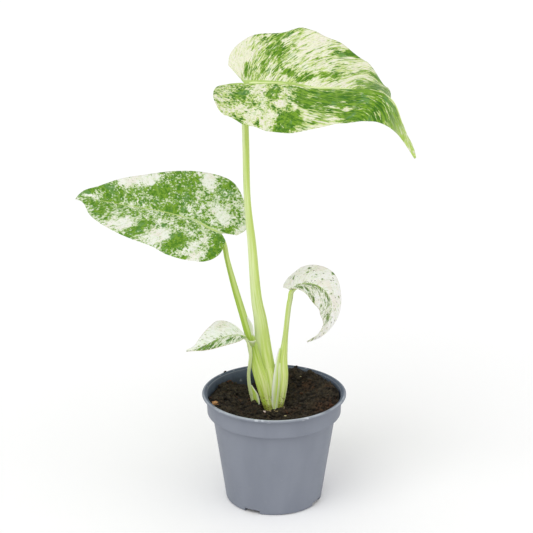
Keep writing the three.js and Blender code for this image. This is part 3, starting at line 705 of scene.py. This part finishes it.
# The three stalks on the crown share a sheathing base that fills the space between their feet
BASE_STATIONS = [(-0.4, 0, 79, 5.4, 3.6), (-1.2, 0, 88, 6, 3.7), (-3, 0.4, 100, 6.4, 3.5),
                 (-5.2, 1.6, 112, 6, 3), (-7, 3, 122, 5, 2.2)]


def keel(name, radius, start):
    """Where the stalk runs on under its blade as the midrib: stations that end near the tip."""
    frames = midrib_frames(BLADES[name])
    stations = []
    for f in (start, start + 0.05, 0.15, 0.3, 0.5, 0.7, 0.86):
        r = radius * (0.62 - 0.5 * f)
        centre = at(frames, "places", f) - at(frames, "outward", f) * (r * 0.75 + 0.25)
        stations.append((*centre, r, r * 0.85))
    return stations


def stalk_object(name, stations, rings, ripple, material):
    path, length = smooth_curve(stations, rings)
    centre, width, depth = path[:, :3], path[:, 3:4], path[:, 4:]
    tangent = unit(np.gradient(centre, axis=0))
    back = np.array([0, 1.0, 0])
    deep = unit(back - tangent * (tangent @ back)[:, None])
    wide = np.cross(deep, tangent)
    angle = circle(STALK_SIDES)
    swell = 1 + ripple * (0.6 * np.cos(7 * angle) + 0.4 * np.cos(11 * angle + 1))
    points = (centre[:, None] + wide[:, None] * (width * np.cos(angle) * swell)[..., None]
              + deep[:, None] * (depth * np.sin(angle) * swell)[..., None])
    along = np.linspace(0, length, rings)[:, None]
    run = np.stack(np.broadcast_arrays(np.cos(angle), np.sin(angle), along), -1)
    return make_object(name, points.reshape(-1, 3), closed_tube(rings, STALK_SIDES), material, run=run)


def stalk_material(name, pale, green, dark, lean, foot=0.0):
    """Lengthwise streaks. lean shifts the pale side to the left (-) or right (+)."""
    tree = Tree(name + "_stalk_skin")
    run = tree.attribute("run")
    rightward, _, _ = run.split()
    fine = run.noise((2.6, 2.6, 0.022), 4, 0.65)
    broad = run.noise((0.9, 0.9, 0.012), 2, offset=(4, 2, 0))
    tree.colour = tree.mix((rightward * (0.3 * lean) + broad).span(0.4, 0.68), green, pale)
    tree.cover(fine.span(0.5, 0.7, 0, 0.75), pale)
    tree.cover(fine.span(0.47, 0.3, 0, 0.7), dark)
    # The foot is yellower and painted paler, as painted light against the shade between the crowded
    # stalks, with brown specks just above the mix
    where = tree.coordinates()
    _, _, height = where.split()
    lit_yellow = tree.mix(fine.span(0.4, 0.62), (202, 228, 84), (242, 250, 176))
    tree.cover(height.span(150, 100, 0, foot), lit_yellow)
    tree.cover((where.noise(0.3, 3, 0.6) * 6 + height).span(90.5, 86.5, 0, 0.7), (146, 152, 58))
    tree.cover(where.noise(0.75, 3, 0.6).span(0.55, 0.63) * height.span(98, 87), (104, 84, 38))
    return tree.shade(Roughness=0.42, Specular_IOR_Level=0.25, Normal=tree.bump(fine, 0.3, 0.7),
                      Subsurface_Weight=0.15, Subsurface_Radius=(0.003, 0.004, 0.0015))


def wing(name, slot, material, cup, inner, outer, steps=60):
    """A thin sheath wing between two lines of points, cupped between them."""
    first, last = [smooth_curve(line, steps)[0][:, None] for line in (inner, outer)]
    v = np.linspace(0, 1, WING_COLUMNS)[None, :, None]
    middle = first * (1 - v) + last * v
    normal = normals(middle)
    middle = middle + normal * (cup * np.sin(math.pi * v))
    middle = middle + normal * 0.12 * noise(middle, 3, 41)[..., None]
    half = WING_THICKNESS / 2 * (1 - 0.6 * v ** 3)
    points, faces = closed_sheet(middle + normal * half, middle - normal * half)
    along = np.linspace(0, WING_RUN, steps)[:, None]
    sheet = np.stack(np.broadcast_arrays(v[..., 0], 0, along), -1).reshape(-1, 3)
    return place(make_object(name, points, faces, material, sheet=np.vstack([sheet, sheet])), slot)


def wing_material(name, body, margin, width):
    tree = Tree(name)
    sheet = tree.attribute("sheet")
    across, _, _ = sheet.split()
    fine = sheet.noise((9, 1, 0.05), 3, 0.6)
    tree.colour = tree.mix((fine * 0.25 + across).span(1.1 - width, 1.12), body, margin)
    tree.cover(fine.span(0.5, 0.7, 0, 0.5), margin)
    return tree.shade(Roughness=0.42, Specular_IOR_Level=0.25, Normal=tree.bump(fine, 0.2, 0.6),
                      Subsurface_Weight=0.2, Subsurface_Radius=(0.003, 0.004, 0.002))


skins = {
    "tall": stalk_material("tall", (222, 234, 174), (196, 216, 118), (178, 203, 84), -1.0, 0.9),
    "left": stalk_material("left", (200, 218, 134), (158, 188, 64), (130, 166, 38), 0.8, 0.75),
    "right": stalk_material("right", (222, 233, 180), (194, 214, 116), (168, 198, 74), 0.5, 0.85),
    "low": stalk_material("low", (226, 234, 200), (202, 216, 146), (160, 186, 84), 1.0),
}
for name, (rings, *under) in KEELS.items():
    stations = STALKS[name] + keel(name, *under)
    skin = stalk_object(name + "_stalk_skin", stations, rings, 0.03, skins[name])
    place(skin, name + "_stalk", name + "_stalk")
place(stalk_object("sheath_base", BASE_STATIONS, 90, 0.05, skins["tall"]), "tall_stalk")

wing("left_sheath_wing", "left_stalk",
     wing_material("grey_wing", (204, 214, 176), (222, 226, 212), 0.6), 0.3,
     [(-22.8, -4.2, 163.4), (-20.8, -4.8, 156), (-19.2, -5.2, 150), (-17.6, -5.6, 143)],
     [(-21.8, -3.9, 163.4), (-18.2, -4.2, 157.8), (-16.9, -4.4, 152), (-17.2, -5.2, 145)])
wing("right_sheath_far", "right_stalk",
     wing_material("green_wing", (208, 230, 118), (250, 252, 240), 0.7), -0.5,
     [(5.4, -3.4, 134), (4.6, -3.9, 126), (4.2, -4.2, 117), (4, -4.4, 107), (3, -4.6, 95),
      (1.6, -4.4, 80)],
     [(4.1, -3, 136), (2.2, -2.6, 128), (0.9, -2.3, 120), (-0.6, -2.6, 110), (-1.8, -3.7, 97),
      (-2.4, -4, 80)])
wing("right_sheath_near", "right_stalk",
     wing_material("pale_wing", (226, 240, 164), (250, 251, 240), 0.5), -0.3,
     [(5.6, -3.9, 122), (5.5, -4.3, 114), (5.2, -4.4, 104), (4, -4.6, 92), (2.6, -4.5, 80)],
     [(4.2, -4, 123), (3.7, -5, 115), (3.5, -5.4, 105), (2.2, -5.5, 92), (0.7, -5.3, 80)])
wing("low_sheath", "low_stalk",
     wing_material("low_wing", (188, 216, 82), (238, 243, 218), 0.35), -0.6,
     [(-19, -3.9, 101), (-18.6, -3.5, 95), (-17.8, -3.1, 89), (-16.4, -2.6, 83)],
     [(-18.6, -4.4, 103), (-16.4, -4.9, 99.6), (-13.6, -5, 95), (-12.2, -5, 90), (-11.6, -4.7, 83)])
wing("low_sheath_flap", "low_stalk",
     wing_material("flap_skin", (150, 168, 96), (222, 229, 194), 0.6), 0.5,
     [(-22.2, -9.5, 143.6), (-20, -10, 141.2), (-17.6, -10, 139.4), (-16, -9.6, 140.6)],
     [(-23, -9.9, 145.4), (-20, -10.7, 145), (-17, -10.6, 145), (-14.6, -9.9, 145.6)], steps=30)


# Pot

POT_SEGMENTS = 168
POT_AXIS = 0.001
HOLE_COUNT = 8
HOLE_CIRCLE = 25.5
HOLE_RADIUS = 4.5

# Width, height and first angle of the notches in the foot, four of each kind
NOTCHES = ((14, 3.6, -27), (12, 0.9, 18))


def arc(cx, cz, radius, start, end, steps):
    angles = np.radians(np.linspace(start, end, steps))
    return [(cx + radius * math.cos(a), cz + radius * math.sin(a)) for a in angles]


def pot_profile():
    """The wall's section, from the axis under the floor, out and up, and back down inside."""
    under = [(POT_AXIS, 0), (17, 0), (17.4, 0.4), (17.8, 1.8), (18.4, 2.2), (32.6, 2.2), (33.3, 1.7),
             (33.7, 0.4), (34.1, 0)]
    corner = arc(BASE_RADIUS - 2.2, 2.2, 2.2, -90, -8, 6)
    body = [(BASE_RADIUS + (SHOULDER_RADIUS - BASE_RADIUS) * k, 2.4 + (BAND_FOOT_Z - 2.9) * k)
            for k in np.linspace(0.01, 1, 12)]
    shoulder = [(51.8, BAND_FOOT_Z - 0.15), (52.6, BAND_FOOT_Z + 0.05), (54.6, BAND_FOOT_Z + 0.05)]
    band = arc(54.9, BAND_FOOT_Z + 0.95, 0.9, -80, 0, 5) + [(55.95, 84), (56.4, 91.2)]
    lip = arc(57.4, 92, 1, 180, 90, 5) + [(58.6, 93)] + arc(LIP_RADIUS - 0.8, 93.8, 0.8, -90, 90, 8)
    top = [(59, POT_HEIGHT - 0.25), (58.3, POT_HEIGHT), (57.7, POT_HEIGHT), (57, POT_HEIGHT - 0.25),
           (56.3, POT_HEIGHT - 0.8)]
    inside = [(55.6, 93), (54.9, 79.4), (54.5, 78.7), (53.9, 78.5), (50.9, 78.5), (50.45, 78), (39.7, 4.4),
              (39.3, 3), (38.6, 1.9), (38, 1.6), (34.8, 1.6), (33.9, 3.2), (33.2, 3.8), (17.8, 3.8),
              (17, 3.2), (16.2, 1.6), (POT_AXIS, 1.6)]
    return np.array(under + corner + body + shoulder + band + lip + top + inside)


def drain_holes(made):
    for k in range(HOLE_COUNT):
        turn = math.radians(k * 360 / HOLE_COUNT + 18)
        centre = Vector((HOLE_CIRCLE * math.sin(turn), -HOLE_CIRCLE * math.cos(turn), 3)) * MM
        bmesh.ops.create_cone(made, cap_ends=True, segments=32, radius1=HOLE_RADIUS * MM,
                              radius2=HOLE_RADIUS * MM, depth=12 * MM, matrix=Matrix.Translation(centre))


def foot_notches(made):
    for width, height, start in NOTCHES:
        for k in range(4):
            turn = Matrix.Rotation(math.radians(start + 90 * k), 4, "Z")
            size = Matrix.Diagonal((width * MM, 14 * MM, (height + 4) * MM, 1))
            centre = Matrix.Translation(Vector((0, -40.5, height / 2 - 2)) * MM)
            bmesh.ops.create_cube(made, size=1.0, matrix=turn @ centre @ size)


def cut(obj, name, build):
    """Cuts away the solids that build makes."""
    made = bmesh.new()
    build(made)
    mesh = bpy.data.meshes.new(name)
    made.to_mesh(mesh)
    made.free()
    tool = add_object(name, mesh)
    change = obj.modifiers.new(name, "BOOLEAN")
    change.operation = "DIFFERENCE"
    change.object = tool
    change.solver = "EXACT"
    with bpy.context.temp_override(object=obj, active_object=obj):
        bpy.ops.object.modifier_apply(modifier=name)
    bpy.data.objects.remove(tool)


def pot_object(material):
    r, z = pot_profile().T[..., None]
    angle = circle(POT_SEGMENTS)
    # Thin plastic is never quite round or level at the lip
    up = np.clip((z - 20) / 75, 0, 1) ** 2
    out = r + up * (0.22 * np.cos(2 * angle + 0.6) + 0.1 * np.cos(3 * angle))
    rise = z + up * 0.12 * np.cos(3 * angle + 1)
    points = np.stack([out * np.cos(angle), out * np.sin(angle), rise], -1)
    faces = closed_tube(len(r), POT_SEGMENTS)
    pot = make_object("pot_shell", points.reshape(-1, 3), faces, material)
    cut(pot, "hole_cut", drain_holes)
    cut(pot, "notch_cut", foot_notches)
    sharpen(pot, 32)
    return place(pot, "pot", "nursery_pot")


def pot_material():
    tree = Tree("pot_plastic")
    where = tree.coordinates()
    x, y, height = where.split()
    radius = tree.math("SQRT", x * x + y * y)
    cloud = where.noise((0.045, 0.045, 0.01575))
    tree.colour = tree.mix(cloud.span(0.3, 0.7), (126, 131, 142), (132, 137, 148))
    tree.cover(where.noise(0.26, 4, 0.7).span(0.62, 0.74) * 0.2, (160, 163, 168))
    # The inside of the band is painted darker, as painted shade inside the pot, and darker still down
    # towards the mix
    band = height.span(94.2, 93.2) * height.span(77.6, 78.4)
    inside = (radius - (height * 0.052 + 51.27)).span(0.2, -0.2) * band
    wavy_height = where.noise(0.16, 4, 0.65) * 14 + height
    tree.cover(inside, tree.mix(wavy_height.span(102, 90), (88, 100, 118), (56, 64, 74)))
    # Painted shade just under the lip, and a painted highlight along the lip's top, broken up by noise
    tree.cover(height.span(91.5, 93) * height.span(93.8, 93.2) * 0.35, (96, 100, 112))
    tree.cover(height.span(94.2, 94.8) * where.noise(0.07).span(0.25, 0.6) * 0.8, (180, 187, 196))
    # The lip is in the shade towards the back, most of all on its inner slope
    lip_top = height.span(93.8, 94.2)
    tree.cover(y.span(-35, 10) * lip_top * 0.6, (104, 114, 128))
    tree.cover(radius.span(58.8, 57.9) * lip_top * y.span(-45, -20), (82, 93, 108))
    scuff = where.noise((0.12, 0.12, 1.08), 4, 0.7)
    tree.cover(scuff.span(0.6, 0.68) * height.span(90, 94) * 0.6, (206, 210, 214))
    # One pale scrape on the inner wall at the back left, and three spots of painted highlight on the lip's
    # front
    for mask, size, centre in ((inside, 3.5, (-29, 49.3, 84.5)), (lip_top, 2.2, (-9.5, -58, 94.8)),
                               (lip_top, 3, (-14.5, -57.2, 94.8)), (lip_top, 2.5, (26.5, -52.5, 94.8))):
        ragged = where.noise(0.7, 3, 0.7) * size + where.distance(centre)
        tree.cover(ragged.span(1.25 * size, 0.8 * size, 0, 0.65) * mask, (206, 211, 220))
    return tree.shade(Roughness=scuff.span(0.3, 0.75, 0.46, 0.62), Specular_IOR_Level=0.2,
                      Normal=tree.bump(where.noise(0.9), 0.05, 0.5))


pot_object(pot_material())


# Potting mix

RANDOM = np.random.default_rng(7)
MIX_RINGS = 120
MIX_SPOKES = 400
MIX_EDGE = 54.3
MIX_AXIS = 0.05
MIX_FOOT = [(MIX_EDGE, 79.2), (54.2, 78.9), (50, 78.85), (39.2, 5), (38.3, 4.2), (MIX_AXIS, 4.2)]
CLEAR_OF_CROWN = 9.5
LYING_WITHIN = 53

# Small heaps that only the looks have, at the low stalk and along the back: x, y, height and spread
HEAPS = [(-15.5, -7.2, 4.2, 3.6), (-19, -7.5, 1.8, 2.4), (19, 46, 3.2, 8), (38, 36, 2.4, 8),
         (-38, 35, 2, 4)]


def raised(x, y, places, softness):
    return sum(height * np.exp(-((x - px) ** 2 + (y - py) ** 2) / (softness * spread ** 2))
               for px, py, height, spread in places)


def mix_height(x, y):
    """The mix's surface with its mounds, heaps, lumps and pits."""
    p = np.stack([x, y, 0 * x], -1)
    r = np.hypot(x, y)
    broad = 0.7 * np.sin(0.23 * x + 1) * np.cos(0.19 * y)
    fine = 0.4 * np.sin(0.47 * x) * np.sin(0.41 * y + 2)
    lumps = 1.3 * noise(p, 6, 11) + 0.9 * (0.5 - np.abs(noise(p, 3, 12))) + 0.5 * noise(p, 1.2, 13)
    lumps = lumps * np.clip((MIX_EDGE - r) / 3 + 0.4, 0, 1)
    crown = 1.5 * np.exp(-(r / 9) ** 4)
    return MIX_LEVEL + broad + fine + lumps + crown + raised(x, y, MOUNDS, 2) + raised(x, y, HEAPS, 1)


def surface(x, y):
    """The height of the mix at one place."""
    return float(mix_height(np.array([x]), np.array([y]))[0])


def mix_material(name, low, high, wet):
    tree = Tree(name)
    where = tree.coordinates()
    coarse = where.noise(0.26, 5, 0.65)
    tree.colour = tree.mix(coarse.span(0.35, 0.68), low, high)
    tree.cover(where.noise((0.62, 1.984, 0.62), 3, 0.7).span(0.6, 0.75) * 0.5, wet)
    # Rusty patches: a large one at the right front, small ones elsewhere
    large = where.distance((44, -14, 83)).span(18, 5)
    small = where.noise(0.07, 2).span(0.58, 0.7, 0, 0.7)
    tree.cover(tree.math("MAXIMUM", large, small) * coarse.span(0.35, 0.65, 0, 0.6), (88, 58, 40))
    lumpy = tree.bump(coarse, 1.2, 0.8)
    return tree.shade(Roughness=0.86, Specular_IOR_Level=0.25,
                      Normal=tree.bump(where.noise(1.1, 4, 0.6), 0.5, 0.9, Normal=lumpy))


def mix_object(material):
    rings = np.linspace(0, 1, MIX_RINGS) ** 0.85 * MIX_EDGE
    rings[0] = MIX_AXIS
    angle = circle(MIX_SPOKES)
    x, y = rings[:, None] * np.cos(angle), rings[:, None] * np.sin(angle)
    foot = [np.column_stack([r * np.cos(angle), r * np.sin(angle), 0 * angle + z]) for r, z in MIX_FOOT]
    points = np.concatenate([np.stack([x, y, mix_height(x, y)], -1), foot]).reshape(-1, 3)
    faces = closed_tube(MIX_RINGS + len(MIX_FOOT), MIX_SPOKES, flip=True)
    return place(make_object("mix_body", points, faces, material), "potting_mix", "potting_mix")


def round_lump(subdivisions):
    made = bmesh.new()
    bmesh.ops.create_icosphere(made, subdivisions=subdivisions, radius=1.0)
    points = np.array([vertex.co[:] for vertex in made.verts])
    faces = np.array([[v.index for v in face.verts] for face in made.faces])
    made.free()
    return points, faces


def uneven(shape, shift, seed):
    return shape * (1 + 0.3 * noise(shape + shift, 0.8, seed))[:, None]


def lying_on_mix(name, lumps, faces, material):
    """One piece of many lumps, which share their faces and have points of their own."""
    faces = [faces + k * len(points) for k, points in enumerate(lumps)]
    return place(make_object(name, np.vstack(lumps), np.vstack(faces), material), "potting_mix")


def random_place(inner, outer):
    r = math.sqrt(RANDOM.uniform(inner ** 2, outer ** 2))
    a = RANDOM.uniform(0, 2 * math.pi)
    return r, r * math.cos(a), r * math.sin(a)


def scatter(name, count, sizes, squash, material, subdivisions=1):
    """Small uneven lumps lying on the mix."""
    shape, faces = round_lump(subdivisions)
    lumps = []
    for k in range(count):
        r, x, y = random_place(CLEAR_OF_CROWN, LYING_WITHIN)
        size = RANDOM.uniform(*sizes) * RANDOM.uniform(0.6, 1.0)
        stretch = np.array([1.0, RANDOM.uniform(0.45, 0.9), RANDOM.uniform(*squash)]) * size
        turn = (Matrix.Rotation(RANDOM.uniform(0, 6.28), 3, "Z")
                @ Matrix.Rotation(RANDOM.normal(0, 0.5), 3, "X"))
        inward = 1 + min(MIX_EDGE - r - size, 0) / r
        x, y = x * inward, y * inward
        centre = (x, y, surface(x, y) + 0.35 * stretch[2])
        lumps.append((uneven(shape, 7 * k, 21) * stretch) @ np.array(turn).T + centre)
    return lying_on_mix(name, lumps, faces, material)


def fibres(name, count, material):
    """Short curved fibres and root hairs lying on the mix."""
    sides, steps = 5, 7
    ring = circle(sides)[:, None]
    taper = np.sin(np.linspace(0.5, math.pi - 0.5, steps))[:, None, None]
    all_points, faces = [], []
    for k in range(count):
        _, x, y = random_place(10, 50)
        heading, turn = RANDOM.uniform(0, 2 * math.pi), RANDOM.normal(0, 0.35)
        length, radius = RANDOM.uniform(2.5, 8), RANDOM.uniform(0.09, 0.2)
        line = []
        for _ in range(steps):
            if math.hypot(x, y) > LYING_WITHIN:
                x, y = x * 0.97, y * 0.97
            line.append((x, y, surface(x, y) + radius * 1.6 + 0.25))
            x, y = x + length / steps * math.cos(heading), y + length / steps * math.sin(heading)
            heading += turn
        line = np.array(line)
        tangent = unit(np.gradient(line, axis=0))
        side = unit(np.cross(tangent, (0, 0, 1.0)))
        above = np.cross(side, tangent)
        round_it = side[:, None] * np.cos(ring) + above[:, None] * np.sin(ring)
        all_points.append((line[:, None] + radius * taper * round_it).reshape(-1, 3))
        faces += closed_tube(steps, sides, k * sides * steps, flip=True)
    return place(make_object(name, np.vstack(all_points), faces, material), "potting_mix")


def bits(name, places, material):
    """Uneven bits at given places on the mix: x, y and size, and a height where one lies elsewhere."""
    shape, faces = round_lump(2)
    lumps = []
    for k, (x, y, size, *height) in enumerate(places):
        turn = np.array(Matrix.Rotation(1.7 * k, 3, "Z"))
        centre = (x, y, height[0] if height else surface(x, y) + 0.4 * size)
        lumps.append((uneven(shape, 5 * k, 23) * [size, 0.75 * size, 0.7 * size]) @ turn.T + centre)
    return lying_on_mix(name, lumps, faces, material)


def repaint(node, name, pattern, low, high, dark, light, roughness, depth_mm, strength):
    """Gives a CAD node that stays a rough material in two tones, which follow a pattern."""
    tree = Tree(name)
    height = pattern(tree.coordinates())
    tree.colour = tree.mix(height.span(low, high), dark, light)
    material = tree.shade(Roughness=roughness, Normal=tree.bump(height, depth_mm, strength))
    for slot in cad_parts[node].material_slots:
        slot.material = material


dark, crumb, brown, pale, red, tan = [mix_material("mix_" + name, *colours) for name, colours in (
    ("dark", ((22, 19, 14), (64, 56, 42), (86, 74, 50))),
    ("crumb", ((24, 21, 16), (72, 63, 46), (96, 82, 54))),
    ("brown", ((50, 34, 22), (88, 60, 38), (112, 84, 56))),
    ("pale", ((146, 138, 92), (206, 198, 156), (222, 214, 186))),
    ("red", ((58, 34, 22), (104, 64, 42), (128, 82, 54))),
    ("tan", ((140, 92, 56), (214, 164, 116), (226, 186, 140))))]
mix_object(dark)
scatter("mix_crumbs_fine", 1700, (0.45, 1.1), (0.5, 0.9), crumb)
scatter("mix_crumbs_coarse", 450, (1.2, 3.2), (0.4, 0.8), dark, subdivisions=2)
scatter("bark_bits", 40, (0.9, 2.2), (0.25, 0.5), brown)
fibres("mix_fibres", 150, brown)
bits("pale_bits", [(9.4, -17.2, 1.2), (11, -16.6, 0.8), (32.4, 46, 1.2), (43.4, 35.8, 1.2), (23, 36, 0.9),
                   (-33, 43.6, 1.3), (42, 41, 0.8), (-1.3, -20, 0.5)], pale)
bits("red_bits", [(-37.4, 34.1, 1.5), (-35.6, 33.4, 1.1), (-39, 32.6, 1), (46.3, -13.4, 1.4),
                  (44.2, -15, 1.1), (48, -11.4, 1), (11.2, -11, 1.3)], red)
bits("tan_bits", [(-46.4, -9.4, 1.1), (-51.4, -4.6, 0.8), (-47.6, -5, 0.6)], tan)
bits("rim_crumb", [(-41.5, 41.8, 1, 95.2), (-42.6, 40.7, 0.7, 95.1)], dark)

repaint("bark_chip", "bark_chip_orange", lambda where: where.noise((0.5, 2.0, 0.5), 4, 0.7), 0.3, 0.7,
        (110, 72, 42), (222, 168, 110), 0.85, 0.6, 0.9)
repaint("pale_grain", "pale_mineral", lambda where: where.cells(1.5)[0], 0.1, 0.6,
        (172, 146, 138), (226, 208, 200), 0.9, 0.4, 0.8)
repaint("root_crown", "root_tan", lambda where: where.noise((0.5, 0.5, 0.15), 4, 0.65), 0.35, 0.7,
        (120, 98, 66), (184, 168, 128), 0.75, 0.4, 0.7)


# Floor, light and camera

FLOOR_HALF = 14000
WORLD_STRENGTH = 0.72
IMAGE_SIDE = 533
FOCAL_PIXELS = 1900
SENSOR_WIDTH = 36
CAMERA_PLACE = (-6.267, -1456.265, 736.198)
CAMERA_TILT = 70

floor_tree = Tree("pale_floor")
floor_tree.colour = (255, 255, 255)
corners = [(x * FLOOR_HALF, y * FLOOR_HALF, 0) for x, y in ((-1, -1), (1, -1), (1, 1), (-1, 1))]
floor = make_object("floor", corners, [[0, 1, 2, 3]],
                    floor_tree.shade(Roughness=0.8, Specular_IOR_Level=0.0), smooth=False)

world = bpy.data.worlds.new("studio")
world.use_nodes = True
background = next(n for n in world.node_tree.nodes if n.type == "BACKGROUND")
background.inputs["Color"].default_value = (1, 1, 1, 1)
background.inputs["Strength"].default_value = WORLD_STRENGTH
bpy.context.scene.world = world


def soft_light(name, azimuth, elevation, spread, strength):
    """A broad, even light from far off. Azimuth 0 comes from the front and 90 from the right."""
    lamp = bpy.data.lights.new(name, "SUN")
    lamp.angle = math.radians(spread)
    lamp.energy = strength
    a, e = math.radians(azimuth), math.radians(elevation)
    source = Vector((math.sin(a) * math.cos(e), -math.cos(a) * math.cos(e), math.sin(e)))
    add_object(name, lamp).rotation_euler = source.to_track_quat("Z", "Y").to_euler()


soft_light("key", -38, 50, 45, 0.95)
soft_light("fill", 50, 35, 70, 0.45)

bpy.context.scene.view_settings.view_transform = "Standard"

camera_data = bpy.data.cameras.new("camera")
camera_data.sensor_width = SENSOR_WIDTH
camera_data.lens = FOCAL_PIXELS / IMAGE_SIDE * SENSOR_WIDTH
camera = add_object("camera", camera_data)
camera.location = Vector(CAMERA_PLACE) * MM
camera.rotation_euler = (math.radians(CAMERA_TILT), 0, 0)
bpy.context.scene.camera = camera

bpy.context.view_layer.update()
